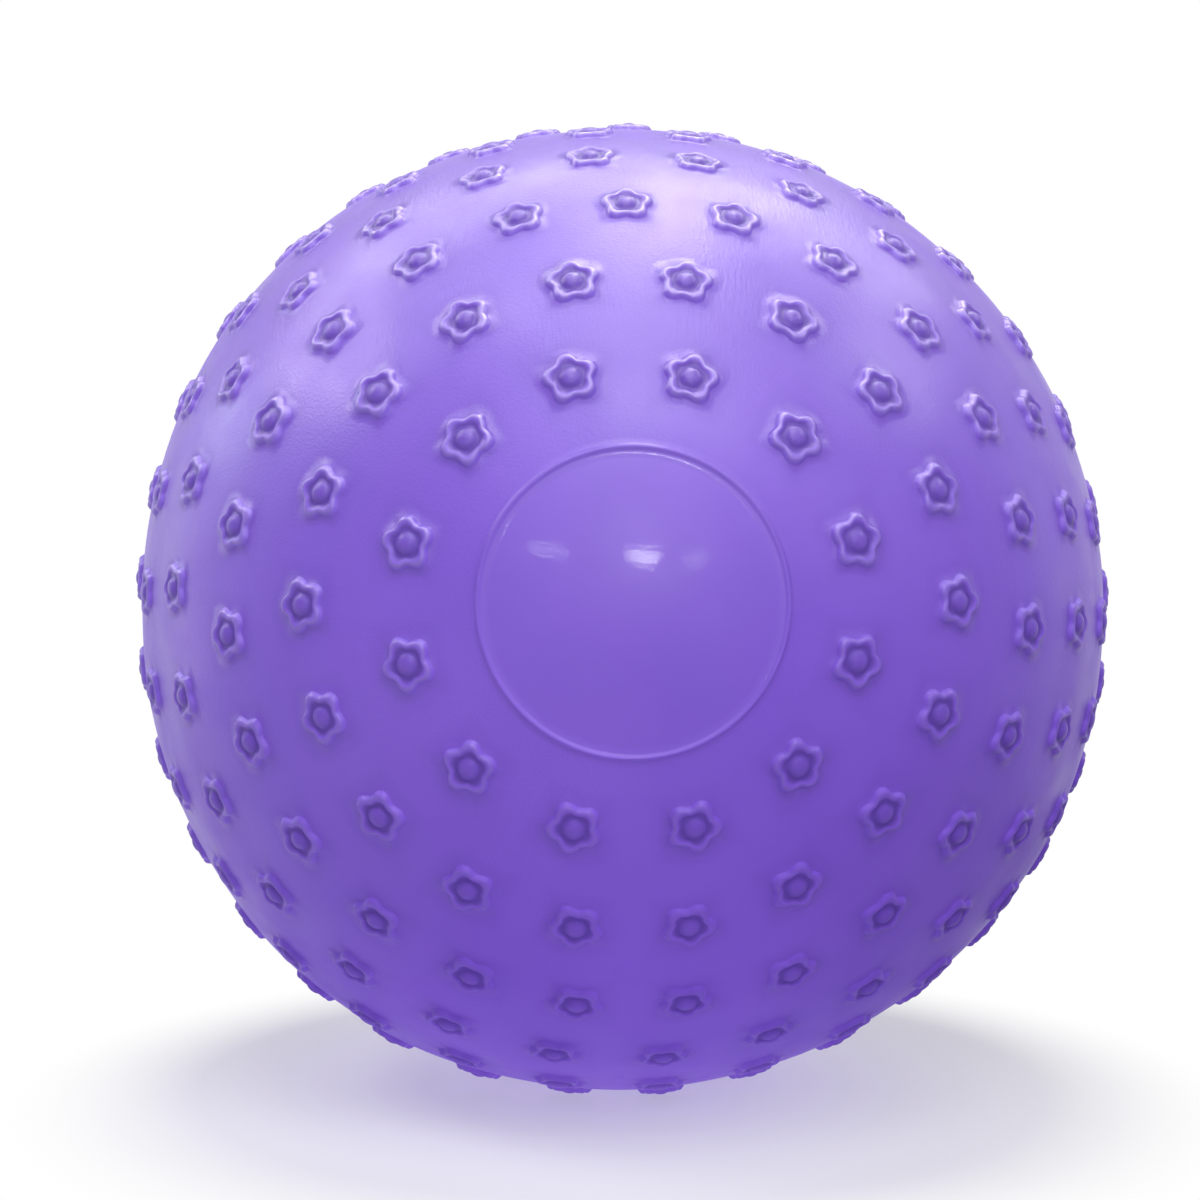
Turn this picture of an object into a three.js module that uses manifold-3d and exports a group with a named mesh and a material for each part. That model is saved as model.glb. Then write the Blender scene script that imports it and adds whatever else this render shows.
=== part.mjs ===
// An inflated exercise ball with star-shaped massage bumps, a valve sleeve and a push-in stopper.
// Millimetres, +Z up. The ball stands on the plane z = 0 with its centre above the origin. Its moulded
// poles lie on the Y axis: a blank disc inside a bead ring faces -Y, and the valve is at the +Y pole.

import * as THREE from 'three';
import { ConvexHull } from 'three/addons/math/ConvexHull.js';
import { mergeVertices } from 'three/addons/utils/BufferGeometryUtils.js';
import Module from 'manifold-3d';

// Ball
const BALL_DIAMETER = 650;
const SKIN_WALL = 1.2; // least thickness of the skin
const FOOT_PRESS = 1; // how far the floor presses the plain skin in
const BOSS_THICKNESS = 5; // skin at the valve
const CAVITY_DETAIL = 5; // subdivision of the air chamber's surface

// Bead ring round the blank disc at each pole
const BEAD_RADIUS = 82.5;
const BEAD_WIDTH = 3.8;
const BEAD_HEIGHT = 1.2;
const BEAD_SEGMENTS = 40;

// Star bumps, in rings round each pole from the bead ring to the equator
const STAR_COUNTS = [12, 18, 23, 26, 30, 33];
const STAR_TURNS = [15.4, 0.3, 12.1, 11.6, 10.2, 1.9]; // first star of each ring, degrees from +X towards +Z
const EQUATOR_COUNT = 33;
const EQUATOR_TURN = 7.4;
const BEAD_TO_STARS = 44.2; // along the skin, from the bead ring to the first ring of star centres
const STAR_POINTS = 5;
const STAR_RADIUS = 17.5; // centre to the foot of a point
const RIM_INSET = 2.5; // from the foot of a point in to its rim
const RIM_NOTCH = 3.6; // depth of the valley between two points of the rim
const RIM_HEIGHT = 3.2;
const DOME_HEIGHT = 3.8; // middle of the star

// Stopper
const HEAD_RADIUS = 8.5;
const HEAD_THICKNESS = 2.4;
const HEAD_CROWN = 0.5; // how far the head's edge lies below its middle
const SHANK_RADIUS = 4.3;
const SHANK_LENGTH = 22;
const BARB_COUNT = 3;
const BARB_HEIGHT = 0.8; // how far a barb stands out from the shank
const BARB_LENGTH = 2.6;
const BARB_PITCH = 4.6;
const FIRST_BARB = 4; // from under the head to the first barb
const TIP_RADIUS = 3;
const TIP_LENGTH = 3.5;

// Valve sleeve
const FIT_GAP = 0.3; // clearance between neighbouring pieces
const SLEEVE_LENGTH = 19;
const SLEEVE_WALL = 2.8; // round the bore
const MOUTH_LIP = 2.4; // collar round the stopper's head
const FLANGE_OVERLAP = 8; // flange beyond the collar, under the skin's boss
const FLANGE_THICKNESS = 1.6;
const ROUND_SEGMENTS = 32;

// Colours
const SKIN_COLOUR = 0x8a69d4;
const SLEEVE_COLOUR = 0x7757bd;
const STOPPER_COLOUR = 0xf0eef2;
const SKIN_ROUGHNESS = 0.42;
const SLEEVE_ROUGHNESS = 0.5;
const STOPPER_ROUGHNESS = 0.35;

const wasm = await Module();
wasm.setup();

const ballRadius = BALL_DIAMETER / 2;
const floorDepth = ballRadius - FOOT_PRESS; // from the ball's centre down to the floor
const boreRadius = SHANK_RADIUS + BARB_HEIGHT + FIT_GAP;
const mouthRadius = HEAD_RADIUS + FIT_GAP;
const collarRadius = mouthRadius + MOUTH_LIP;

// Unit vector at an angle from the front pole, -Y, turned about that pole from +X towards +Z.
function directionAt(polar, turn) {
  const across = Math.sin(polar);
  return new THREE.Vector3(across * Math.cos(turn), -Math.cos(polar), across * Math.sin(turn));
}

// The outer skin as corners and triangles. Plain corners lie on the ball. Those that are the foot of a
// raised form name it, and the form's own triangles stand in place of the plain skin inside its foot.
class OuterSkin {
  constructor() {
    this.corners = [];
    this.plainCorners = new Map();
    this.triangles = [];
  }

  addPlain(direction, form = null) {
    const corner = direction.clone().setLength(ballRadius);
    this.plainCorners.set(corner, { index: this.corners.length, form });
    return this.corners.push(corner) - 1;
  }

  addRaised(direction, height) {
    return this.corners.push(direction.clone().setLength(ballRadius + height)) - 1;
  }

  // Every triangle faces away from the ball's centre, because no form on the ball is undercut.
  addTriangle(a, b, c) {
    const corner = this.corners[a];
    const normal = this.corners[b].clone().sub(corner);
    normal.cross(this.corners[c].clone().sub(corner));
    this.triangles.push(...(normal.dot(corner) > 0 ? [a, b, c] : [a, c, b]));
  }

  // The convex hull of points on a ball joins each to its neighbours. Returns the least distance from
  // the ball's centre to a face.
  joinPlain() {
    const hull = new ConvexHull().setFromPoints([...this.plainCorners.keys()]);
    for (const face of hull.faces) {
      const corners = [face.edge, face.edge.next, face.edge.prev].map((edge) => {
        return this.plainCorners.get(edge.head().point);
      });
      const [first, second, third] = corners;
      const insideForm = first.form && first.form === second.form && first.form === third.form;
      if (!insideForm) this.addTriangle(first.index, second.index, third.index);
    }
    return Math.min(...hull.faces.map((face) => face.constant));
  }

  toGeometry() {
    const geometry = new THREE.BufferGeometry().setFromPoints(this.corners);
    geometry.setIndex(this.triangles);
    return geometry;
  }
}

// One star bump: a five-cornered foot, a five-pointed rim and a middle dome. One point lies away from the
// nearer pole: downhill is 1 where that is away from the front pole and -1 on the rear half.
function addStar(skin, polar, turn, downhill) {
  const form = Symbol('star');
  const centre = directionAt(polar, turn);
  const away = directionAt(polar + Math.PI / 2, turn).multiplyScalar(downhill);
  const sideways = centre.clone().cross(away);
  const rimRadius = STAR_RADIUS - RIM_INSET;
  const step = (2 * Math.PI) / STAR_POINTS;
  const around = (reach, angle) => {
    const spread = reach / ballRadius;
    const heading = away.clone().multiplyScalar(Math.cos(angle)).addScaledVector(sideways, Math.sin(angle));
    return centre.clone().multiplyScalar(Math.cos(spread)).addScaledVector(heading, Math.sin(spread));
  };
  const feet = [];
  const tips = [];
  const valleys = [];
  for (let i = 0; i < STAR_POINTS; i += 1) {
    feet.push(skin.addPlain(around(STAR_RADIUS, i * step), form));
    tips.push(skin.addRaised(around(rimRadius, i * step), RIM_HEIGHT));
    valleys.push(skin.addRaised(around(rimRadius - RIM_NOTCH, (i + 0.5) * step), RIM_HEIGHT));
  }
  const middle = skin.addRaised(centre, DOME_HEIGHT);
  for (let i = 0; i < STAR_POINTS; i += 1) {
    const next = (i + 1) % STAR_POINTS;
    skin.addTriangle(feet[i], feet[next], valleys[i]);
    skin.addTriangle(feet[i], valleys[i], tips[i]);
    skin.addTriangle(feet[next], tips[next], valleys[i]);
    skin.addTriangle(tips[i], valleys[i], middle);
    skin.addTriangle(valleys[i], tips[next], middle);
  }
}

// A circle of plain corners, evenly spaced.
function addPlainCircle(skin, polar, count) {
  for (let i = 0; i < count; i += 1) {
    skin.addPlain(directionAt(polar, (2 * Math.PI * i) / count));
  }
}

// The bead ring at one pole and the plain disc inside it.
function addPoleDisc(skin, fromFrontPole) {
  const form = Symbol('bead');
  const polarAt = (radius) => fromFrontPole(Math.asin(radius / ballRadius));
  const inner = [];
  const crest = [];
  const outer = [];
  for (let i = 0; i < BEAD_SEGMENTS; i += 1) {
    const turn = (2 * Math.PI * i) / BEAD_SEGMENTS;
    inner.push(skin.addPlain(directionAt(polarAt(BEAD_RADIUS - BEAD_WIDTH / 2), turn), form));
    crest.push(skin.addRaised(directionAt(polarAt(BEAD_RADIUS), turn), BEAD_HEIGHT));
    outer.push(skin.addPlain(directionAt(polarAt(BEAD_RADIUS + BEAD_WIDTH / 2), turn), form));
  }
  for (let i = 0; i < BEAD_SEGMENTS; i += 1) {
    const next = (i + 1) % BEAD_SEGMENTS;
    for (const edge of [inner, outer]) {
      skin.addTriangle(edge[i], edge[next], crest[i]);
      skin.addTriangle(edge[next], crest[next], crest[i]);
    }
  }
  const discCircles = 3;
  skin.addPlain(directionAt(fromFrontPole(0), 0));
  for (let circle = 1; circle < discCircles; circle += 1) {
    addPlainCircle(skin, polarAt((BEAD_RADIUS * circle) / discCircles), 2 * discCircles * circle);
  }
}

// One half of the ball, from its pole to just short of the equator.
function addHalf(skin, fromFrontPole, downhill) {
  const firstRing = Math.asin(BEAD_RADIUS / ballRadius) + BEAD_TO_STARS / ballRadius;
  const ringStep = (Math.PI / 2 - firstRing) / STAR_COUNTS.length;
  addPoleDisc(skin, fromFrontPole);
  STAR_COUNTS.forEach((count, ring) => {
    const polar = firstRing + ring * ringStep;
    const firstTurn = THREE.MathUtils.degToRad(STAR_TURNS[ring]);
    for (let i = 0; i < count; i += 1) {
      addStar(skin, fromFrontPole(polar), firstTurn + (2 * Math.PI * i) / count, downhill);
    }
    addPlainCircle(skin, fromFrontPole(polar + ringStep / 2), count);
  });
}

// A closed mesh as a solid for joining and cutting.
function toSolid(geometry) {
  const bare = new THREE.BufferGeometry();
  bare.setAttribute('position', geometry.getAttribute('position'));
  bare.setIndex(geometry.getIndex());
  const welded = mergeVertices(bare);
  const vertProperties = Float32Array.from(welded.getAttribute('position').array);
  const triVerts = Uint32Array.from(welded.getIndex().array);
  return new wasm.Manifold(new wasm.Mesh({ numProp: 3, vertProperties, triVerts }));
}

function toGeometry(solid) {
  const mesh = solid.getMesh();
  const geometry = new THREE.BufferGeometry();
  geometry.setAttribute('position', new THREE.BufferAttribute(mesh.vertProperties, mesh.numProp));
  geometry.setIndex(new THREE.BufferAttribute(mesh.triVerts, 1));
  geometry.computeVertexNormals();
  return geometry;
}

// A box round the ball that keeps what lies above the height bottom and short of the depth back.
function keepingBox(bottom, back) {
  const size = 2 * BALL_DIAMETER;
  const box = new THREE.BoxGeometry(size, size, size);
  box.translate(0, back - size / 2, bottom + size / 2);
  return toSolid(box);
}

// The skin: star bumps and bead rings outside, an air chamber inside, flat where it stands and with a
// thick flat boss round the valve's hole.
function skinGeometry() {
  const skin = new OuterSkin();
  addHalf(skin, (polar) => polar, 1);
  addHalf(skin, (polar) => Math.PI - polar, -1);
  for (let i = 0; i < EQUATOR_COUNT; i += 1) {
    const turn = THREE.MathUtils.degToRad(EQUATOR_TURN) + (2 * Math.PI * i) / EQUATOR_COUNT;
    addStar(skin, Math.PI / 2, turn, 1);
  }
  const leastRadius = skin.joinPlain();
  const outside = toSolid(skin.toGeometry()).intersect(keepingBox(-floorDepth, BALL_DIAMETER));
  const chamber = toSolid(new THREE.IcosahedronGeometry(leastRadius - SKIN_WALL, CAVITY_DETAIL));
  const keepBoss = keepingBox(SKIN_WALL - floorDepth, ballRadius - BOSS_THICKNESS);
  const holeRadius = collarRadius + FIT_GAP;
  const hole = new THREE.CylinderGeometry(holeRadius, holeRadius, 4 * BOSS_THICKNESS, ROUND_SEGMENTS);
  hole.translate(0, ballRadius, 0);
  return toGeometry(outside.subtract(chamber.intersect(keepBoss)).subtract(toSolid(hole)));
}

// A body of revolution about the valve's axis, y = 0 at the skin's outside and positive outwards.
function turned(profile) {
  const points = profile.map(([radius, height]) => new THREE.Vector2(radius, height));
  return new THREE.LatheGeometry(points, ROUND_SEGMENTS);
}

// The sleeve: a collar flush with the skin, a seat for the stopper's head, a bore and a flange that is
// bonded under the boss.
function sleeveGeometry() {
  const seat = -HEAD_THICKNESS - FIT_GAP;
  const flangeTop = -BOSS_THICKNESS - FIT_GAP;
  const flangeRadius = collarRadius + FLANGE_OVERLAP;
  const tubeRadius = boreRadius + SLEEVE_WALL;
  return turned([
    [boreRadius, seat],
    [boreRadius, -SLEEVE_LENGTH],
    [tubeRadius, -SLEEVE_LENGTH],
    [tubeRadius, flangeTop - FLANGE_THICKNESS],
    [flangeRadius, flangeTop - FLANGE_THICKNESS],
    [flangeRadius, flangeTop],
    [collarRadius, flangeTop],
    [collarRadius, 0],
    [mouthRadius, 0],
    [mouthRadius, seat],
    [boreRadius, seat],
  ]);
}

// The stopper: a flat crowned head over a shank with barbs that widen towards the head.
function stopperGeometry() {
  const shankEnd = -HEAD_THICKNESS - SHANK_LENGTH;
  const profile = [
    [0, shankEnd],
    [TIP_RADIUS, shankEnd],
    [SHANK_RADIUS, shankEnd + TIP_LENGTH],
  ];
  for (let i = BARB_COUNT - 1; i >= 0; i -= 1) {
    const shoulder = -HEAD_THICKNESS - FIRST_BARB - i * BARB_PITCH;
    profile.push([SHANK_RADIUS, shoulder - BARB_LENGTH]);
    profile.push([SHANK_RADIUS + BARB_HEIGHT, shoulder]);
    profile.push([SHANK_RADIUS, shoulder]);
  }
  profile.push([SHANK_RADIUS, -HEAD_THICKNESS]);
  profile.push([HEAD_RADIUS, -HEAD_THICKNESS]);
  profile.push([HEAD_RADIUS, -HEAD_CROWN]);
  profile.push([0, 0]);
  return turned(profile);
}

function namedMesh(name, geometry, color, roughness) {
  const material = new THREE.MeshStandardMaterial({ color, roughness, metalness: 0 });
  const mesh = new THREE.Mesh(geometry, material);
  mesh.name = name;
  return mesh;
}

const valve = new THREE.Group();
valve.position.y = ballRadius;
valve.add(namedMesh('valve_sleeve', sleeveGeometry(), SLEEVE_COLOUR, SLEEVE_ROUGHNESS));
valve.add(namedMesh('stopper_plug', stopperGeometry(), STOPPER_COLOUR, STOPPER_ROUGHNESS));

const ball = new THREE.Group();
ball.position.z = floorDepth;
ball.add(namedMesh('ball_skin', skinGeometry(), SKIN_COLOUR, SKIN_ROUGHNESS));
ball.add(valve);

const part = new THREE.Group();
part.add(ball);

export default part;
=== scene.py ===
# Looks of an inflated exercise ball: the blown skin with its star bumps, and the valve in its rear pole.
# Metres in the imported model's frame, +Z up. The front pole, with a blank disc inside a bead, faces -Y.

import math

import bmesh
import bpy
import numpy as np
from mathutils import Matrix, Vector


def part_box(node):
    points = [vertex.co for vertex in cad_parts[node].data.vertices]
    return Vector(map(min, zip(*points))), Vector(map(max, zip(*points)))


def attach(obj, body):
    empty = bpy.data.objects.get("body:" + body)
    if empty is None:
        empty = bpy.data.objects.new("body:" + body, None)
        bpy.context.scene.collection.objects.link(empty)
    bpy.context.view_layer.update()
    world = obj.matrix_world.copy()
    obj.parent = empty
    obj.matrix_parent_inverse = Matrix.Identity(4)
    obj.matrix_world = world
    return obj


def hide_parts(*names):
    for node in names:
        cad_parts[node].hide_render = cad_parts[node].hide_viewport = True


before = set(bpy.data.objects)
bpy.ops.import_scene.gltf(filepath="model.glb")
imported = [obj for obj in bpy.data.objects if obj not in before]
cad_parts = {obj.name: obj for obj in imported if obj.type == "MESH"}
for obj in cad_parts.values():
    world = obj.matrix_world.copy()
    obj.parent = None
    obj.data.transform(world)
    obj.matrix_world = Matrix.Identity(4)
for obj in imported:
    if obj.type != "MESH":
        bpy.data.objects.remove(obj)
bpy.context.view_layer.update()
skin_low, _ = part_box("ball_skin")
sleeve_low, sleeve_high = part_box("valve_sleeve")
plug_low, plug_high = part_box("stopper_plug")

MM = 0.001

# Ball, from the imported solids
BALL_RADIUS = -skin_low.y
BALL_CENTRE = Vector((0, 0, (sleeve_low.z + sleeve_high.z) / 2))
FLOOR = skin_low.z

# Bead ring round the disc at each pole
BEAD_RADIUS = 82.5 * MM
BEAD_HALF_WIDTH = 2.4 * MM
BEAD_HEIGHT = 1.8 * MM
BEAD_ROWS = 6
BEAD_APPROACH = (9 * MM, 5 * MM)  # circles of plain skin just outside the bead

# Rings of star bumps from the bead to the equator
STAR_COUNTS = (12, 18, 23, 26, 30, 33)
STAR_TURNS = (15.4, 0.3, 12.1, 11.6, 10.2, 1.9)  # degrees from +X towards +Z
EQUATOR_COUNT = 33
EQUATOR_TURN = 7.4
FIRST_RING = math.radians(22.5)
RING_STEP = (math.pi / 2 - FIRST_RING) / len(STAR_COUNTS)
BAND_GAP = 4.5 * MM  # plain strip between two bands of stars

# One star: a dome in a dish, inside a soft rim with five points
STAR_POINTS = 5
POINT_FULLNESS = 0.1
DOME_RADIUS = 6.4 * MM
DOME_HEIGHT = 4.5 * MM
DOME_SWEEP = math.radians(70)
DOME_ROWS = 4
DISH_HEIGHT = 1.7 * MM
RIM_HEIGHT = (3.3 * MM, 3.0 * MM)  # at a point and at a valley, as are the three reaches below
DISH_REACH = (8.6 * MM, 7.4 * MM)  # from the star's middle
RIM_REACH = (12.9 * MM, 9.9 * MM)
FOOT_REACH = (16.6 * MM, 12.8 * MM)
RIM_STEPS = (-1, -0.7, -0.36, 0, 0.36, 0.66, 0.86, 1)  # from the dish, over the rim's crest, to the foot
RIM_SHARPNESS = 1.5
PLAIN_STEPS = (0.3, 0.66, 1)  # from the foot to the cell's edge
CELL_ACROSS = 10  # points along a cell's edges
CELL_DOWN = 10

# Painted shade and gloss of a star's rows: 0 is plain skin, 1 the deepest painted shade and dullest gloss,
# -1 the shiniest crest
DOME_SHADE_AND_GLOSS = (0.42, 0.42, 0.5, 0.65, 0.88)  # from the dome's middle outwards
RIM_SHADE_AND_GLOSS = (0.88, 0.55, 0, -1, -0.7, -0.1, 0.15, 0.25)
PLAIN_SHADE_AND_GLOSS = (0.1, 0, 0)

# How the blown skin departs from a true sphere
OUT_OF_ROUND = ((2, 0.5 * MM, -27), (3, 1.3 * MM, 0), (4, 1.1 * MM, -40))  # lobes, height, degrees
SWELL_WAVES = 24
SWELL_HEIGHT = 0.3 * MM
SWELL_PITCH = (9, 26)  # radians of wave for each radius of travel
SWELL_SEED = 11
VALVE_CALM = 60 * MM  # round the valve the skin is true

# Air chamber
SKIN_WALL = 1.5 * MM
BOSS_THICKNESS = 5 * MM
CHAMBER_POINTS = 48
CHAMBER_ROWS = 24

# Stopper
FIT_GAP = 0.3 * MM
HEAD_RADIUS = plug_high.x
HEAD_THICKNESS = 2.4 * MM
HEAD_CROWN = 0.5 * MM
GROOVE_RADIUS = 5.6 * MM  # of the ring groove in the head
GROOVE_HALF_WIDTH = 0.5 * MM
GROOVE_DEPTH = 0.35 * MM
GROOVE_OUTER_DROP = 0.18 * MM  # of the crowned head, at the groove's two edges
GROOVE_INNER_DROP = 0.1 * MM
DIMPLE_RADIUS = 1.2 * MM
DIMPLE_FLOOR_RADIUS = 0.8 * MM
NAIL_NOTCH = 0.9 * MM
NAIL_ANGLE = math.radians(28)
SHANK_RADIUS = 4.3 * MM
BARB_COUNT = 3
BARB_HEIGHT = 0.8 * MM
BARB_LENGTH = 2.6 * MM
BARB_PITCH = 4.6 * MM
FIRST_BARB = 4 * MM
TIP_RADIUS = 3 * MM
TIP_LENGTH = 3.5 * MM
TIP_BORE = 1.8 * MM
TIP_BORE_DEPTH = 9 * MM

# Sleeve, and the hole in the skin that holds it
BORE_RADIUS = SHANK_RADIUS + BARB_HEIGHT + FIT_GAP
SLEEVE_WALL = 2.8 * MM
MOUTH_RADIUS = HEAD_RADIUS + FIT_GAP
COLLAR_WALL = 2.4 * MM
COLLAR_RADIUS = MOUTH_RADIUS + COLLAR_WALL
FLANGE_RADIUS = sleeve_high.x
FLANGE_THICKNESS = 1.6 * MM
MOUTH = sleeve_high.y
HOLE_RADIUS = COLLAR_RADIUS + FIT_GAP
LIP_START = 0.22 * MM  # below the pole, where the hole's rounded lip begins
LIP_TURN = 0.3 * MM  # and where it turns down into the hole

# Rounding and meshing of the turned pieces
EDGE_ROUND = 0.45 * MM
CORNER_SHARE = 0.45  # of a side, at most, that the rounding of one corner takes
CORNER_STEPS = (0, 0.33, 0.67, 1)
ROUND_SEGMENTS = 72
SKIN_WELD = 0.002 * MM
VALVE_WELD = 0.001 * MM

# Circles of points on the discs, inwards: radius and number of points
DISC_CIRCLES = ((76 * MM, 108), (68 * MM, 96), (59 * MM, 84), (50 * MM, 72), (41 * MM, 60), (32 * MM, 48))
FRONT_CIRCLES = ((23 * MM, 36), (14 * MM, 24), (6 * MM, 10))
HOLE_MARGIN = 3 * MM
REAR_RADII = (24 * MM, 18 * MM, HOLE_RADIUS + HOLE_MARGIN)

# Looks of the skin: screen colours, features for each metre, and shares
SKIN_COLOURS = ((121, 83, 206), (127, 88, 211))
# Painted shade in the stars: a darker colour laid into their domes, dishes and feet, and lightly on their
# crests
PAINTED_SHADE_COLOUR = (77, 54, 142)
FULL_PAINTED_SHADE = 0.7  # share of the painted shade's colour where a row's shade value is 1
CREST_PAINTED_SHADE = 0.22  # and where it is -1, a light painted shade on the crests
TONE_SCALE = 9.0
CLOUD_SCALE = 28.0
SKIN_ROUGHNESS = (0.31, 0.44)
SKIN_IOR = 1.55
GLOSS_LEAN = (-0.2, 0, 1)  # the skin is glossier this way from the ball's middle
GLOSS_SPAN = (-0.2, 0.1)  # metres that way
GLOSS_BELOW = 0.08  # of the gloss, left at the span's start
LIMB_SPAN = (0.6, 0.92)  # of the turn away from the eye, over which the gloss falls
LIMB_GLOSS = 0.5
PLAIN_GLOSS = 0.5  # specular level of plain skin
DEEP_SHADE_GLOSS = 0.25  # and where a row's shade value is 1
CREST_GLOSS = 2.4  # times the plain level, where a row's shade value is -1
DISC_COAT = 0.2
DISC_COAT_ROUGHNESS = 0.06
RIPPLE_SCALE = 420.0
RIPPLE_DEPTH = 0.06 * MM
GRAIN_SCALE = 620.0
GRAIN_DEPTH = 0.16 * MM
DISC_GRAIN = 0.2  # of the grain, left on the discs
STREAK_SCALE = 110.0
STREAK_STRETCH = (5, 1, 1)  # times finer along each axis
STREAK_SPAN = (0.08, 0.22)  # metres along the gloss's lean
STREAK_GAIN = (0.3, 2.5)  # of the streaks over that span
PATCH_SCALE = 11.0

# Noise: its octaves, and the stretches of its range that spread over the whole of a value
PLAIN_DETAIL = 2.0
RICH_DETAIL = 3.0
NARROW_SPAN = (0.4, 0.6)
EVEN_SPAN = (0.35, 0.65)
WIDE_SPAN = (0.3, 0.7)

# Camera
CAMERA_DISTANCE = 4 * BALL_RADIUS
CAMERA_LENS = 56.0
SENSOR_WIDTH = 36
CAMERA_LEFT = math.radians(1.3)  # off the front pole
CAMERA_LOW = math.radians(0.58)
AIM_LEFT = 13.7 * MM  # of the ball's middle
AIM_UP = 5.8 * MM

# Floor and world
BLACK = (0, 0, 0, 1)
WHITE = (1, 1, 1, 1)
FLOOR_COLOUR = (0.9, 0.9, 0.9, 1)
FLOOR_REACH = 9
FLOOR_ROUGHNESS = 0.9
FLOOR_GLOW = 0.35  # share of the floor's own light in its looks, at the ball's foot
FLOOR_FADE = (0.2, 0.42)  # metres from the foot over which that share grows to 1
FLOOR_BOUNCE = (1.0, 0.15)  # what the floor gives back to the ball, on its left and on its right
BOUNCE_ACROSS = (0.05, 0.4)  # metres to the right over which it changes
BOUNCE_FADE = (0.17, 0.45)  # metres from the foot over which it falls
BOUNCE_FAR = 0.2  # to this share
WORLD_LIGHT = 0.08  # of the white world on the ball

# Lamps that light the matt colour: name, place, width, depth and watts
MATT_LAMPS = (
    ("high front lamp", (0.0, -1.6, 2.25), 1.5, 1.0, 20.0),
    ("right front fill", (0.7, -2.4, 1.9), 2.2, 1.2, 22.0),
    ("low front fill", (0.0, -2.9, 0.6), 2.2, 1.0, 6.5),
    ("right low fill", (1.9, -1.8, 1.0), 1.2, 1.2, 12.5),
    ("upper left lamp", (-1.4, -0.4, 1.6), 0.6, 0.5, 7.5),
    ("left side fill", (-2.2, 0.9, 0.9), 1.2, 1.2, 9.0),
    ("right side fill", (2.2, 0.9, 0.9), 1.2, 1.2, 13.0),
    ("rear fill", (0.0, 2.6, 1.3), 2.0, 1.2, 20.0),
)
MATT_LIGHT = (1.0, 1.0, 1.0)

# Lamps that show in the gloss, as sheen on the skin and glints on the disc, with their colour too
GLOSS_LAMPS = (
    ("rear softbox", (0.0, 0.4, 1.9), 3.2, 0.6, 28.0, (1.0, 1.0, 0.95)),
    ("top softbox", (0.1, -0.1, 2.05), 2.2, 0.4, 9.0, (1.0, 1.0, 0.95)),
    ("top lamp", (0.2, -0.1, 2.0), 0.6, 0.35, 7.0, (1.0, 0.98, 0.92)),
    ("upper softbox", (-0.1, -0.7, 2.15), 2.2, 0.5, 14.0, (1.0, 1.0, 0.95)),
    ("upper lamp", (0.05, -1.6, 2.25), 0.45, 0.3, 5.5, (1.0, 0.98, 0.92)),
    ("wide fill", (0.1, -2.2, 2.1), 3.2, 1.0, 28.0, (1.0, 1.0, 1.0)),
    ("middle glint", (0.167, -2.47, 0.808), 0.27, 0.08, 4.5, (1.0, 0.98, 0.9)),
    ("left glint", (-0.686, -2.38, 0.756), 0.3, 0.05, 1.2, (1.0, 1.0, 1.0)),
    ("right glint", (0.633, -2.4, 0.764), 0.2, 0.06, 0.6, (1.0, 1.0, 1.0)),
    ("left sheen", (-1.45, -0.2, 1.6), 0.8, 0.5, 6.5, (1.0, 0.98, 0.95)),
    ("left warm lamp", (-1.52, 0.0, 1.48), 0.3, 0.2, 1.8, (1.0, 0.97, 0.9)),
    ("left cool lamp", (-1.5, 0.45, 1.05), 0.3, 0.3, 1.8, (0.75, 0.88, 1.0)),
    ("right sheen", (1.4, -0.4, 1.6), 0.6, 0.5, 5.5, (1.0, 1.0, 1.0)),
    ("left strip", (-1.3, 0.5, 0.5), 0.3, 0.9, 1.0, (0.92, 0.94, 1.0)),
)


def direction(polar, turn):
    """Unit vectors at an angle from the front pole, turned about it from +X towards +Z."""
    polar, turn = np.broadcast_arrays(polar, turn)
    across = np.sin(polar)
    return np.stack((across * np.cos(turn), -np.cos(polar), across * np.sin(turn)), axis=-1)


def turned(points, turn):
    """Points turned about the poles' axis."""
    cos, sin = math.cos(turn), math.sin(turn)
    x, y, z = points[..., 0], points[..., 1], points[..., 2]
    return np.stack((x * cos - z * sin, y, x * sin + z * cos), axis=-1)


def even_turns(count):
    """Angles spread evenly over a full turn."""
    return np.arange(count) * math.tau / count


def quads_between(near, far):
    """Quads between closed rows of point numbers and the rows that follow them."""
    corners = (near, far, np.roll(far, -1, axis=1), np.roll(near, -1, axis=1))
    return np.stack(corners, axis=-1).reshape(-1, 4)


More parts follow.
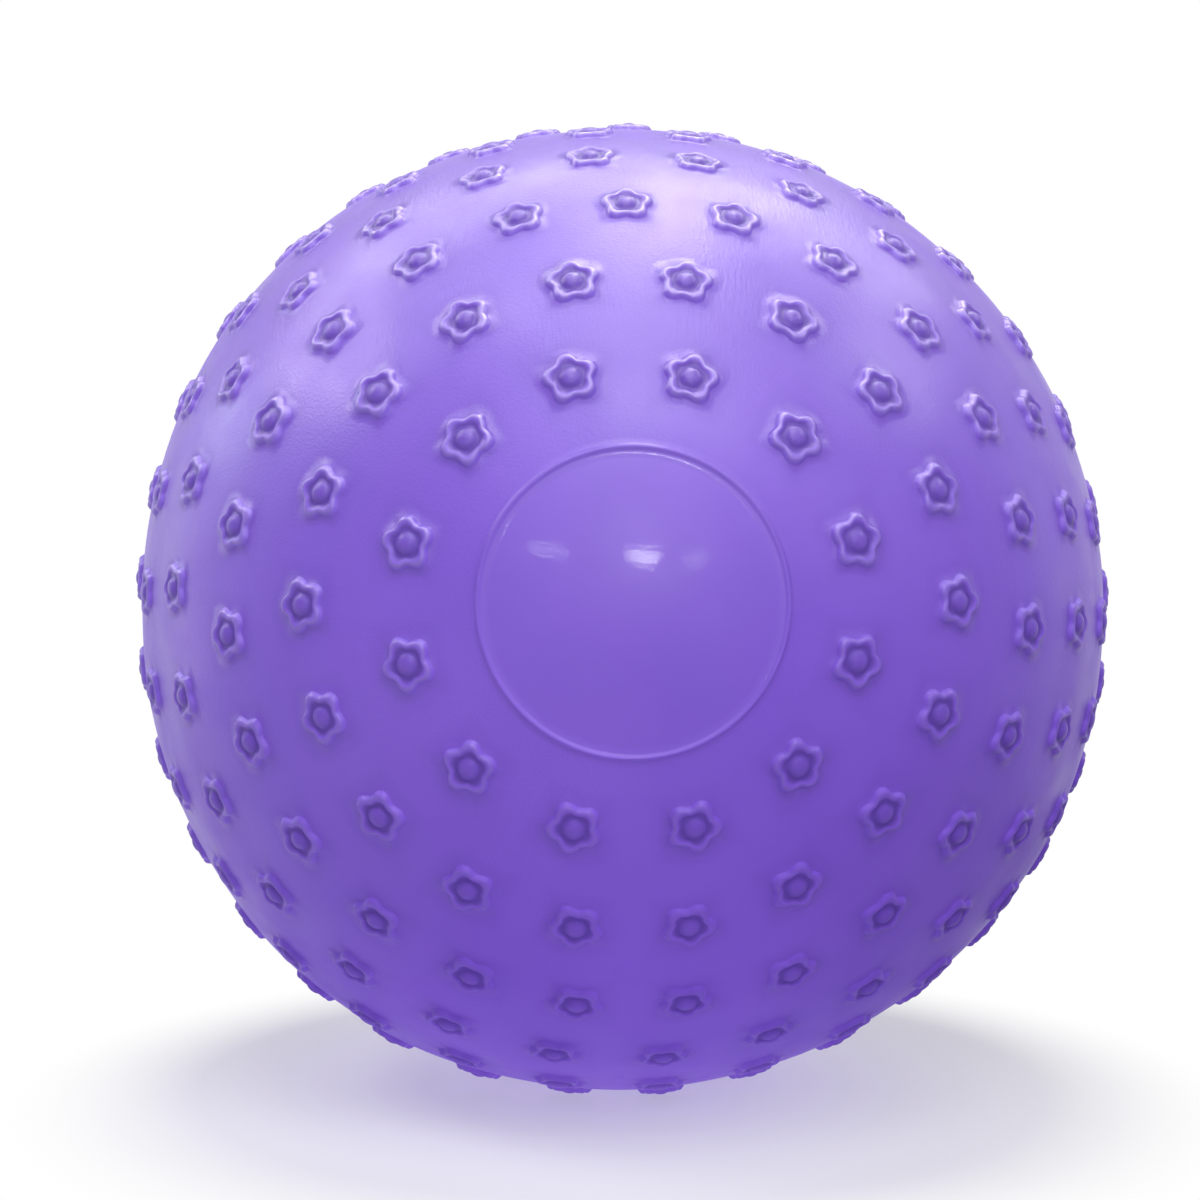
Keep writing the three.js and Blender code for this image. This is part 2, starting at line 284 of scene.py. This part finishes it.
class Skin:
    """The skin as directions from the ball's middle and heights over the plain sphere, with faces.

    A circle is a pair: the numbers of its points and the turn of each.
    """

    def __init__(self):
        self.directions = []
        self.heights = []
        self.insides = []
        self.shade_and_gloss_rows = []
        self.faces = []
        self.count = 0

    def add(self, directions, heights, inside=False, tint=0.0):
        """Adds points and returns their numbers, in the same layout."""
        shape = directions.shape[:-1]
        size = math.prod(shape)
        self.directions.append(directions.reshape(-1, 3))
        self.heights.append(np.broadcast_to(heights, shape).reshape(-1))
        self.insides.append(np.full(size, inside))
        self.shade_and_gloss_rows.append(np.broadcast_to(tint, shape).reshape(-1))
        numbers = np.arange(self.count, self.count + size).reshape(shape)
        self.count += size
        return numbers

    def add_circle(self, polar, height, points, inside=False):
        """A circle that far from the front pole, as an angle."""
        turns = even_turns(points)
        return self.add(direction(polar, turns), height, inside), turns

    def add_pole_circle(self, radius, height, points, mirrored):
        """A circle of that radius round the front pole or, mirrored, the rear one."""
        polar = math.asin(radius / BALL_RADIUS)
        return self.add_circle(math.pi - polar if mirrored else polar, height, points)

    def add_valve_circle(self, radius, depth, points, inside=False):
        """A circle round the rear pole, that far below it."""
        turns = even_turns(points)
        along = np.full(points, BALL_RADIUS - depth)
        spots = np.stack((radius * np.cos(turns), along, radius * np.sin(turns)), axis=-1)
        lengths = np.linalg.norm(spots, axis=-1)
        return self.add(spots / lengths[:, None], lengths - BALL_RADIUS, inside), turns

    def fan(self, middle, loop):
        """Triangles from one point to a closed row."""
        self.faces += np.stack((np.full_like(loop, middle), loop, np.roll(loop, -1)), axis=-1).tolist()

    def rows(self, numbers):
        """Quads between neighbouring closed rows of points."""
        self.faces += quads_between(numbers[:-1], numbers[1:]).tolist()

    def stitch(self, first, second):
        """Triangles between two circles, which need not hold as many points. Returns the second."""
        loops = []
        for numbers, turns in (first, second):
            turns = np.mod(turns, math.tau)
            order = np.argsort(turns)
            loops.append((np.append(numbers[order], numbers[order[0]]).tolist(),
                          np.append(turns[order], turns[order[0]] + math.tau).tolist()))
        (a, a_turns), (b, b_turns) = loops
        i = j = 0
        while i < len(a) - 1 or j < len(b) - 1:
            b_done = j == len(b) - 1
            if b_done or (i < len(a) - 1 and a_turns[i + 1] <= b_turns[j + 1]):
                self.faces.append((a[i], a[i + 1], b[j]))
                i += 1
            else:
                self.faces.append((a[i], b[j + 1], b[j]))
                j += 1
        return second


def star_wave(angles, ends):
    """A size that varies round a star, between its value at a point and at a valley."""
    wave = np.cos(STAR_POINTS * angles) - POINT_FULLNESS * np.cos(2 * STAR_POINTS * angles)
    share = (wave + 1 + POINT_FULLNESS) / 2
    return ends[1] + (ends[0] - ends[1]) * share


def cell_edge(polar, half_polar, half_turn):
    """Directions round a cell's edge, from the middle of its far side, and the turn of each point."""
    half = CELL_ACROSS // 2
    across = np.linspace(-1, 1, CELL_ACROSS + 1)
    down = np.linspace(-1, 1, CELL_DOWN + 1)
    far = np.ones(half)
    near = np.full(CELL_ACROSS, -1.0)
    side = np.ones(CELL_DOWN)
    polars = np.concatenate((far, -down[:-1], near, down[:-1], far))
    turns = np.concatenate((across[half:-1], side, -across[:-1], -side, across[:half]))
    return direction(polar + half_polar * polars, half_turn * turns), half_turn * turns


def star_cell(polar, half_polar, half_turn):
    """One star and the plain skin round it, at turn 0.

    Returns the direction of its middle, the directions, heights and painted shade and gloss values of its
    rows from there outwards, and the turns of the points on the cell's edge.
    """
    middle = direction(polar, 0.0)
    away = direction(polar + math.pi / 2, 0.0)
    side = np.cross(middle, away)
    edge, edge_turns = cell_edge(polar, half_polar, half_turn)
    edge_reach = BALL_RADIUS * np.arccos(edge @ middle)
    edge_angle = np.arctan2(edge @ side, edge @ away)
    edge_spots = edge_reach[:, None] * np.stack((np.cos(edge_angle), np.sin(edge_angle)), axis=-1)

    angles = even_turns(len(edge))
    rays = np.stack((np.cos(angles), np.sin(angles)), axis=-1)
    spots = []
    heights = []
    for row in range(1, DOME_ROWS + 1):
        sweep = DOME_SWEEP * row / DOME_ROWS
        fall = (1 - math.cos(sweep)) / (1 - math.cos(DOME_SWEEP))
        spots.append(rays * DOME_RADIUS * math.sin(sweep) / math.sin(DOME_SWEEP))
        heights.append(np.full(len(angles), DOME_HEIGHT + (DISH_HEIGHT - DOME_HEIGHT) * fall))
    crest = star_wave(angles, RIM_REACH)
    crest_height = star_wave(angles, RIM_HEIGHT)
    for step in RIM_STEPS:
        end = star_wave(angles, FOOT_REACH if step > 0 else DISH_REACH)
        end_height = 0 if step > 0 else DISH_HEIGHT
        spots.append(rays * (crest + (end - crest) * abs(step))[:, None])
        heights.append(end_height + (crest_height - end_height) * (1 - step * step) ** RIM_SHARPNESS)
    foot = spots[-1]
    for step in PLAIN_STEPS:
        spots.append(foot + (edge_spots - foot) * step)
        heights.append(np.zeros(len(angles)))
    # Each row's painted shade and gloss: deepest painted shade in the dome and dish, a little at the foot
    # and crest
    shade_and_gloss_rows = np.array(DOME_SHADE_AND_GLOSS[1:] + RIM_SHADE_AND_GLOSS + PLAIN_SHADE_AND_GLOSS)[:, None]

    spots = np.stack(spots)
    reach = np.linalg.norm(spots, axis=-1, keepdims=True)
    bearing = (spots[..., :1] * away + spots[..., 1:] * side) / reach
    arcs = reach / BALL_RADIUS
    directions = np.cos(arcs) * middle + np.sin(arcs) * bearing
    return middle, directions, np.stack(heights), shade_and_gloss_rows, edge_turns


def add_star_ring(skin, polar, first_turn, count, mirrored):
    """A closed band of star cells. Returns its near and far edges, seen from its own pole."""
    half_polar = RING_STEP / 2 - BAND_GAP / BALL_RADIUS / 2
    middle, directions, heights, shade_and_gloss_rows, edge_turns = star_cell(polar, half_polar, math.pi / count)
    flip = np.array((1, -1 if mirrored else 1, 1))
    half = CELL_ACROSS // 2
    near = slice(half + CELL_DOWN, half + CELL_DOWN + CELL_ACROSS)
    far = np.r_[len(edge_turns) - half:len(edge_turns), 0:half]
    edges = {"near": ([], []), "far": ([], [])}
    for number in range(count):
        turn = first_turn + number * math.tau / count
        numbers = skin.add(turned(directions, turn) * flip, heights, tint=shade_and_gloss_rows)
        top = skin.add(turned(middle, turn)[None] * flip, DOME_HEIGHT, tint=DOME_SHADE_AND_GLOSS[0])
        skin.fan(top[0], numbers[0])
        skin.rows(numbers)
        for name, chosen in (("near", near), ("far", far)):
            edges[name][0].append(numbers[-1][chosen])
            edges[name][1].append(edge_turns[chosen] + turn)
    return {name: tuple(np.concatenate(parts) for parts in pair) for name, pair in edges.items()}


def add_bead(skin, circle, points, mirrored):
    """The plain skin from the first band to the bead, and the bead itself. Returns its inner circle."""
    for gap in BEAD_APPROACH:
        circle = skin.stitch(circle, skin.add_pole_circle(BEAD_RADIUS + gap, 0, points, mirrored))
    for step in np.linspace(1, -1, BEAD_ROWS + 1):
        radius = BEAD_RADIUS + step * BEAD_HALF_WIDTH
        height = BEAD_HEIGHT * math.cos(step * math.pi / 2) ** 2
        circle = skin.stitch(circle, skin.add_pole_circle(radius, height, points, mirrored))
    return circle


def add_disc(skin, circle, circles, mirrored):
    """The disc inside the bead, in ever smaller circles. Returns the last."""
    for radius, points in circles:
        circle = skin.stitch(circle, skin.add_pole_circle(radius, 0, points, mirrored))
    return circle


def add_chamber(skin, circle):
    """The skin's edge in the valve hole, the flat boss under it and the air chamber."""
    lip = ((HOLE_RADIUS + EDGE_ROUND, LIP_START), (HOLE_RADIUS + EDGE_ROUND / 3, LIP_TURN),
           (HOLE_RADIUS, LIP_TURN + EDGE_ROUND), (HOLE_RADIUS, BOSS_THICKNESS - EDGE_ROUND))
    for radius, depth in lip:
        circle = skin.stitch(circle, skin.add_valve_circle(radius, depth, CHAMBER_POINTS))
    inner_radius = BALL_RADIUS - SKIN_WALL
    boss_radius = math.sqrt(inner_radius ** 2 - (BALL_RADIUS - BOSS_THICKNESS) ** 2)
    for radius in (HOLE_RADIUS, HOLE_RADIUS + EDGE_ROUND, boss_radius):
        following = skin.add_valve_circle(radius, BOSS_THICKNESS, CHAMBER_POINTS, inside=True)
        circle = skin.stitch(circle, following)
    first = math.pi - math.asin(boss_radius / inner_radius)
    for row in range(1, CHAMBER_ROWS):
        polar = first * (1 - row / CHAMBER_ROWS)
        circle = skin.stitch(circle, skin.add_circle(polar, -SKIN_WALL, CHAMBER_POINTS, inside=True))
    middle = skin.add(direction(0.0, 0.0)[None], -SKIN_WALL, inside=True)
    skin.fan(middle[0], circle[0])


def unevenness(directions):
    """How far the blown skin stands off the true sphere."""
    rng = np.random.default_rng(SWELL_SEED)
    swell = np.zeros(len(directions))
    for _ in range(SWELL_WAVES):
        axis = rng.normal(size=3)
        axis /= np.linalg.norm(axis)
        swell += np.sin(directions @ axis * rng.uniform(*SWELL_PITCH) + rng.uniform(0, math.tau))
    swell *= SWELL_HEIGHT / math.sqrt(SWELL_WAVES / 2)
    across = np.hypot(directions[:, 0], directions[:, 2])
    turns = np.arctan2(directions[:, 2], directions[:, 0])
    for lobes, height, degrees in OUT_OF_ROUND:
        swell += height * np.cos(lobes * (turns - math.radians(degrees))) * across ** lobes
    calm = np.clip(across * BALL_RADIUS / VALVE_CALM, 0, 1)
    calm = calm * calm * (3 - 2 * calm)
    return np.where(directions[:, 1] > 0, swell * calm, swell)


def whole_skin():
    """All points and faces of the skin, outside and inside."""
    skin = Skin()
    inner_edges = []
    outer_edges = []
    for mirrored in (False, True):
        previous = None
        for ring, (count, degrees) in enumerate(zip(STAR_COUNTS, STAR_TURNS)):
            polar = FIRST_RING + ring * RING_STEP
            edges = add_star_ring(skin, polar, math.radians(degrees), count, mirrored)
            if previous is None:
                inner_edges.append(edges["near"])
            else:
                skin.stitch(previous, edges["near"])
            previous = edges["far"]
        outer_edges.append(previous)
    equator = add_star_ring(skin, math.pi / 2, math.radians(EQUATOR_TURN), EQUATOR_COUNT, False)
    skin.stitch(outer_edges[0], equator["near"])
    skin.stitch(outer_edges[1], equator["far"])

    points = STAR_COUNTS[0] * CELL_ACROSS
    front = add_bead(skin, inner_edges[0], points, False)
    front = add_disc(skin, front, DISC_CIRCLES + FRONT_CIRCLES, False)
    middle = skin.add(direction(0.0, 0.0)[None], 0)
    skin.fan(middle[0], front[0])
    rear_circles = tuple((radius, CHAMBER_POINTS) for radius in REAR_RADII)
    rear = add_bead(skin, inner_edges[1], points, True)
    rear = add_disc(skin, rear, DISC_CIRCLES + rear_circles, True)
    add_chamber(skin, rear)
    return skin


def skin_mesh():
    """The skin as a welded mesh round the ball's middle, flat where it stands on the floor."""
    skin = whole_skin()
    directions = np.concatenate(skin.directions)
    heights = np.concatenate(skin.heights)
    inside = np.concatenate(skin.insides)
    spots = directions * (BALL_RADIUS + heights + unevenness(directions))[:, None]
    ground = FLOOR - BALL_CENTRE.z + np.where(inside, SKIN_WALL, 0)
    spots[:, 2] = np.maximum(spots[:, 2], ground)

    mesh = bpy.data.meshes.new("ball_shell")
    mesh.from_pydata(spots.tolist(), [], skin.faces)
    bead_polar = math.asin(BEAD_RADIUS / BALL_RADIUS)
    panel = np.abs(directions[:, 1]) > math.cos(bead_polar)
    # The rows' painted shade and gloss go to the material as a point attribute
    for name, values in (("panel", panel), ("tint", np.concatenate(skin.shade_and_gloss_rows))):
        layer = mesh.attributes.new(name, "FLOAT", "POINT")
        layer.data.foreach_set("value", np.asarray(values, dtype=np.float32))
    weld(mesh, SKIN_WELD)
    return mesh


def weld(mesh, reach):
    """Joins doubled points, turns the faces outwards and smooths them."""
    work = bmesh.new()
    work.from_mesh(mesh)
    bmesh.ops.remove_doubles(work, verts=work.verts, dist=reach)
    bmesh.ops.recalc_face_normals(work, faces=work.faces)
    work.to_mesh(mesh)
    work.free()
    mesh.shade_smooth()


def softened(outline, closed):
    """The outline with its corners rounded."""
    points = [np.array(point, dtype=float) for point in outline]
    result = []
    last = len(points) - 1
    for i, corner in enumerate(points):
        if not closed and i in (0, last):
            result.append(corner)
            continue
        before = points[i - 1] - corner
        after = points[(i + 1) % len(points)] - corner
        start = corner + before * min(CORNER_SHARE, EDGE_ROUND / np.linalg.norm(before))
        end = corner + after * min(CORNER_SHARE, EDGE_ROUND / np.linalg.norm(after))
        for share in CORNER_STEPS:
            result.append((1 - share) ** 2 * start + 2 * share * (1 - share) * corner + share ** 2 * end)
    return np.array(result)


def lathe(outline, closed):
    """Points and quads of an outline of (radius, height over the mouth) turned about the valve's axis."""
    profile = softened(outline, closed)
    turns = even_turns(ROUND_SEGMENTS)
    radii, heights = np.broadcast_arrays(profile[:, :1], profile[:, 1:])
    spots = np.stack(np.broadcast_arrays(radii * np.cos(turns), heights, radii * np.sin(turns)), axis=-1)
    numbers = np.arange(spots.shape[0] * ROUND_SEGMENTS).reshape(spots.shape[:2])
    if closed:
        quads = quads_between(numbers, np.roll(numbers, -1, axis=0))
    else:
        quads = quads_between(numbers[:-1], numbers[1:])
    return spots.reshape(-1, 3), quads


def valve_mesh(name, spots, quads):
    """A turned piece as a welded mesh."""
    mesh = bpy.data.meshes.new(name)
    mesh.from_pydata(spots.tolist(), [], quads.tolist())
    weld(mesh, VALVE_WELD)
    return mesh


def sleeve_mesh():
    """The sleeve: a countersunk mouth, a collar in the skin's hole, a flange inside and a tube."""
    seat = -HEAD_THICKNESS - FIT_GAP
    flange_top = -BOSS_THICKNESS - FIT_GAP
    flange_foot = flange_top - FLANGE_THICKNESS
    tube_radius = BORE_RADIUS + SLEEVE_WALL
    end = sleeve_low.y - MOUTH
    spots, quads = lathe((
        (BORE_RADIUS, seat), (BORE_RADIUS, end), (tube_radius, end), (tube_radius, flange_foot),
        (FLANGE_RADIUS, flange_foot), (FLANGE_RADIUS, flange_top), (COLLAR_RADIUS, flange_top),
        (COLLAR_RADIUS, 0), (MOUTH_RADIUS, 0), (MOUTH_RADIUS, seat)), closed=True)
    return valve_mesh("valve_bush", spots, quads)


def plug_mesh():
    """The stopper: a hollow tip, a shank with barbs, and a grooved head with a notch for a nail."""
    end = plug_low.y - MOUTH
    outline = [(0, end + TIP_BORE_DEPTH), (TIP_BORE, end + TIP_BORE_DEPTH), (TIP_BORE, end),
               (TIP_RADIUS, end), (SHANK_RADIUS, end + TIP_LENGTH)]
    for barb in reversed(range(BARB_COUNT)):
        shoulder = -HEAD_THICKNESS - FIRST_BARB - barb * BARB_PITCH
        outline.append((SHANK_RADIUS, shoulder - BARB_LENGTH))
        outline.append((SHANK_RADIUS + BARB_HEIGHT, shoulder))
        outline.append((SHANK_RADIUS, shoulder))
    outline += [(SHANK_RADIUS, -HEAD_THICKNESS), (HEAD_RADIUS, -HEAD_THICKNESS), (HEAD_RADIUS, -HEAD_CROWN),
                (GROOVE_RADIUS + GROOVE_HALF_WIDTH, -GROOVE_OUTER_DROP),
                (GROOVE_RADIUS, -GROOVE_OUTER_DROP - GROOVE_DEPTH),
                (GROOVE_RADIUS - GROOVE_HALF_WIDTH, -GROOVE_INNER_DROP),
                (DIMPLE_RADIUS, 0), (DIMPLE_FLOOR_RADIUS, -GROOVE_DEPTH), (0, -GROOVE_DEPTH)]
    spots, quads = lathe(outline, closed=False)

    turns = np.arctan2(spots[:, 2], spots[:, 0])
    reach = np.hypot(spots[:, 0], spots[:, 2])
    notch = np.clip(1 - np.abs(turns - math.pi / 2) / NAIL_ANGLE, 0, 1)
    edge = np.clip((reach - GROOVE_RADIUS) / (HEAD_RADIUS - GROOVE_RADIUS), 0, 1)
    top = spots[:, 1] > -HEAD_THICKNESS / 2
    spots[:, 1] -= NAIL_NOTCH * notch * (2 - notch) * edge * top
    return valve_mesh("stopper", spots, quads)


def add_piece(name, mesh, place, body, node, material):
    piece = bpy.data.objects.new(name, mesh)
    bpy.context.scene.collection.objects.link(piece)
    piece.location = place
    mesh.materials.append(material)
    bpy.context.view_layer.update()
    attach(piece, body)
    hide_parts(node)


class Nodes:
    """Lays out one shader tree."""

    def __init__(self, tree):
        self.tree = tree

    def feed(self, socket, value):
        if isinstance(value, bpy.types.NodeSocket):
            self.tree.links.new(value, socket)
        else:
            socket.default_value = value

    def add(self, kind, inputs, **settings):
        node = self.tree.nodes.new(kind)
        for name, value in settings.items():
            setattr(node, name, value)
        for name, value in inputs.items():
            self.feed(node.inputs[name], value)
        return node

    def place(self):
        """Where a point lies, from the origin of its piece."""
        return self.add("ShaderNodeTexCoord", {}).outputs["Object"]

    def painted(self, name):
        """A value that the mesh holds for each point."""
        return self.add("ShaderNodeAttribute", {}, attribute_name=name).outputs["Fac"]

    def noise(self, vector, scale, detail=PLAIN_DETAIL):
        inputs = {"Vector": vector, "Scale": scale, "Detail": detail}
        return self.add("ShaderNodeTexNoise", inputs).outputs["Fac"]

    def ranged(self, value, span, result=(0.0, 1.0), **settings):
        """The value's place in a span, as the like place between two results."""
        inputs = {"Value": value, "From Min": span[0], "From Max": span[1],
                  "To Min": result[0], "To Max": result[1]}
        return self.add("ShaderNodeMapRange", inputs, **settings).outputs["Result"]

    def math(self, operation, first, second):
        return self.add("ShaderNodeMath", {0: first, 1: second}, operation=operation).outputs[0]

    def product(self, first, *others):
        for other in others:
            first = self.math("MULTIPLY", first, other)
        return first

    def blend(self, share, first, second):
        """A colour between two others."""
        node = self.add("ShaderNodeMix", {0: share}, data_type="RGBA")
        colours = [socket for socket in node.inputs if socket.type == "RGBA"]
        self.feed(colours[0], first)
        self.feed(colours[1], second)
        return next(socket for socket in node.outputs if socket.type == "RGBA")

    def bump(self, height, depth, strength):
        inputs = {"Strength": strength, "Distance": depth, "Height": height}
        return self.add("ShaderNodeBump", inputs).outputs[0]


def new_material(name):
    material = bpy.data.materials.new(name)
    material.use_nodes = True
    return material, Nodes(material.node_tree), material.node_tree.nodes["Principled BSDF"]


def linear(red, green, blue):
    """A screen colour, 0 to 255, as a shader colour, by the sRGB curve."""
    shares = [value / 255 for value in (red, green, blue)]
    return tuple(v / 12.92 if v <= 0.04045 else ((v + 0.055) / 1.055) ** 2.4 for v in shares) + (1.0,)


def skin_material():
    """Satin vinyl with painted shade in the stars, a thin glossy coat on the discs and streaks near the
    top.
    """
    material, nodes, shader = new_material("satin vinyl")
    place = nodes.place()
    panel = nodes.painted("panel")
    tint = nodes.painted("tint")

    tone = nodes.ranged(nodes.noise(place, TONE_SCALE, RICH_DETAIL), EVEN_SPAN)
    plain = nodes.blend(tone, linear(*SKIN_COLOURS[0]), linear(*SKIN_COLOURS[1]))
    # Painted shade: the stars' domes, dishes and feet darken towards a shade colour, their crests a little
    painted_shade = nodes.math("MAXIMUM", nodes.product(tint, FULL_PAINTED_SHADE), nodes.product(tint, -CREST_PAINTED_SHADE))
    nodes.feed(shader.inputs["Base Color"], nodes.blend(painted_shade, plain, linear(*PAINTED_SHADE_COLOUR)))

    clouds = nodes.noise(place, CLOUD_SCALE, RICH_DETAIL)
    nodes.feed(shader.inputs["Roughness"], nodes.ranged(clouds, WIDE_SPAN, SKIN_ROUGHNESS))
    shader.inputs["IOR"].default_value = SKIN_IOR
    lean = nodes.add("ShaderNodeVectorMath", {0: place, 1: GLOSS_LEAN}, operation="DOT_PRODUCT")
    side = lean.outputs["Value"]
    facing = nodes.add("ShaderNodeLayerWeight", {}).outputs["Facing"]
    gloss = nodes.product(nodes.ranged(side, GLOSS_SPAN, (GLOSS_BELOW, 1.0)),
                          nodes.ranged(facing, LIMB_SPAN, (1.0, LIMB_GLOSS)),
                          nodes.ranged(tint, (0.0, 1.0), (PLAIN_GLOSS, DEEP_SHADE_GLOSS)),
                          nodes.ranged(tint, (-1.0, 0.0), (CREST_GLOSS, 1.0)))
    nodes.feed(shader.inputs["Specular IOR Level"], gloss)

    patches = nodes.ranged(nodes.noise(place, PATCH_SCALE), NARROW_SPAN)
    stretch = nodes.add("ShaderNodeVectorMath", {0: place, 1: STREAK_STRETCH}, operation="MULTIPLY")
    streaks = nodes.product(nodes.noise(stretch.outputs[0], STREAK_SCALE), patches,
                            nodes.ranged(side, STREAK_SPAN, STREAK_GAIN))
    grain = nodes.math("ADD", nodes.noise(place, GRAIN_SCALE), streaks)
    strength = nodes.ranged(panel, (0.0, 1.0), (1.0, DISC_GRAIN))
    nodes.feed(shader.inputs["Normal"], nodes.bump(grain, GRAIN_DEPTH, strength))

    nodes.feed(shader.inputs["Coat Weight"], nodes.product(panel, DISC_COAT))
    shader.inputs["Coat Roughness"].default_value = DISC_COAT_ROUGHNESS
    ripple = nodes.noise(place, RIPPLE_SCALE, RICH_DETAIL)
    nodes.feed(shader.inputs["Coat Normal"], nodes.bump(ripple, RIPPLE_DEPTH, 1.0))
    return material


def moulded_material(name, colours, tone_scale, roughness, grain_scale, grain_depth, grain_strength):
    """A plastic whose colour drifts between two, with a fine grain."""
    material, nodes, shader = new_material(name)
    place = nodes.place()
    tone = nodes.noise(place, tone_scale, RICH_DETAIL)
    colour = nodes.blend(nodes.ranged(tone, WIDE_SPAN), linear(*colours[0]), linear(*colours[1]))
    nodes.feed(shader.inputs["Base Color"], colour)
    nodes.feed(shader.inputs["Roughness"], nodes.ranged(tone, WIDE_SPAN, roughness))
    grain = nodes.noise(place, grain_scale)
    nodes.feed(shader.inputs["Normal"], nodes.bump(grain, grain_depth, grain_strength))
    return material


def sleeve_material():
    return moulded_material("soft valve rubber", colours=((112, 82, 182), (122, 91, 194)), tone_scale=160.0,
                            roughness=(0.45, 0.6), grain_scale=1800.0, grain_depth=0.05 * MM,
                            grain_strength=0.4)


def stopper_material():
    return moulded_material("white stopper plastic", colours=((236, 233, 240), (243, 241, 245)),
                            tone_scale=220.0, roughness=(0.28, 0.4), grain_scale=2400.0,
                            grain_depth=0.03 * MM, grain_strength=0.3)


def seen_directly(nodes):
    """1 for what the camera sees, straight or mirrored or through glass, else 0."""
    path = nodes.add("ShaderNodeLightPath", {})
    seen = nodes.math("MAXIMUM", path.outputs["Is Camera Ray"], path.outputs["Is Glossy Ray"])
    return nodes.math("MAXIMUM", seen, path.outputs["Is Transmission Ray"])


def add_world():
    """A world that looks white and lights the ball only a little."""
    world = bpy.data.worlds.new("studio")
    world.use_nodes = True
    bpy.context.scene.world = world
    nodes = Nodes(world.node_tree)
    background = world.node_tree.nodes["Background"]
    background.inputs["Color"].default_value = WHITE
    strength = nodes.ranged(seen_directly(nodes), (0.0, 1.0), (WORLD_LIGHT, 1.0))
    nodes.feed(background.inputs["Strength"], strength)


def floor_material():
    """A floor that shows the shadow near the ball, turns white further out, and gives light back unseen."""
    material, nodes, shader = new_material("white floor")
    shader.inputs["Roughness"].default_value = FLOOR_ROUGHNESS
    shader.inputs["Specular IOR Level"].default_value = 0.0
    place = nodes.place()
    distance = nodes.add("ShaderNodeVectorMath", {0: place}, operation="LENGTH").outputs["Value"]
    across = nodes.add("ShaderNodeSeparateXYZ", {0: place}).outputs["X"]
    seen = seen_directly(nodes)
    unseen = nodes.math("SUBTRACT", 1.0, seen)
    bounce = nodes.ranged(across, BOUNCE_ACROSS, FLOOR_BOUNCE)
    given = nodes.blend(bounce, BLACK, WHITE)
    nodes.feed(shader.inputs["Base Color"], nodes.blend(seen, given, FLOOR_COLOUR))

    far = nodes.ranged(distance, FLOOR_FADE, interpolation_type="SMOOTHSTEP")
    shown = nodes.product(nodes.math("MAXIMUM", far, FLOOR_GLOW), seen)
    given_back = nodes.product(unseen, bounce, nodes.ranged(distance, BOUNCE_FADE, (1.0, BOUNCE_FAR)))
    share = nodes.math("ADD", shown, given_back)
    white = nodes.add("ShaderNodeEmission", {"Strength": 1.0}).outputs[0]
    mixed = nodes.add("ShaderNodeMixShader", {0: share, 1: shader.outputs[0], 2: white})
    nodes.feed(material.node_tree.nodes["Material Output"].inputs["Surface"], mixed.outputs[0])
    return material


def add_floor():
    mesh = bpy.data.meshes.new("floor")
    corners = [(x * FLOOR_REACH, y * FLOOR_REACH, FLOOR) for x, y in ((-1, -1), (1, -1), (1, 1), (-1, 1))]
    mesh.from_pydata(corners, [], ((0, 1, 2, 3),))
    mesh.materials.append(floor_material())
    floor = bpy.data.objects.new("floor", mesh)
    bpy.context.scene.collection.objects.link(floor)


def add_light(name, place, width, depth, watts, colour, for_matt, for_gloss):
    """An area lamp that faces the ball's middle."""
    lamp = bpy.data.lights.new(name, "AREA")
    lamp.shape = "RECTANGLE"
    lamp.size = width
    lamp.size_y = depth
    lamp.energy = watts
    lamp.color = colour
    light = bpy.data.objects.new(name, lamp)
    bpy.context.scene.collection.objects.link(light)
    light.location = place
    light.rotation_euler = (BALL_CENTRE - Vector(place)).to_track_quat("-Z", "Y").to_euler()
    light.visible_camera = False
    light.visible_diffuse = for_matt
    light.visible_glossy = for_gloss


def add_camera():
    lens = bpy.data.cameras.new("camera")
    lens.sensor_width = SENSOR_WIDTH
    lens.lens = CAMERA_LENS
    camera = bpy.data.objects.new("camera", lens)
    bpy.context.scene.collection.objects.link(camera)
    flat = math.cos(CAMERA_LOW)
    way = Vector((-math.sin(CAMERA_LEFT) * flat, -math.cos(CAMERA_LEFT) * flat, -math.sin(CAMERA_LOW)))
    camera.location = BALL_CENTRE + CAMERA_DISTANCE * way
    aim = BALL_CENTRE + Vector((-AIM_LEFT, 0, AIM_UP))
    camera.rotation_euler = (aim - camera.location).to_track_quat("-Z", "Y").to_euler()
    bpy.context.scene.camera = camera


pole = Vector((0, MOUTH, BALL_CENTRE.z))
add_piece("ball_shell", skin_mesh(), BALL_CENTRE, "ball", "ball_skin", skin_material())
add_piece("valve_bush", sleeve_mesh(), pole, "ball", "valve_sleeve", sleeve_material())
add_piece("stopper", plug_mesh(), pole, "stopper", "stopper_plug", stopper_material())

add_world()
add_floor()
for name, place, width, depth, watts in MATT_LAMPS:
    add_light(name, place, width, depth, watts, MATT_LIGHT, for_matt=True, for_gloss=False)
for name, place, width, depth, watts, colour in GLOSS_LAMPS:
    add_light(name, place, width, depth, watts, colour, for_matt=False, for_gloss=True)
add_camera()
bpy.context.scene.view_settings.view_transform = "Standard"
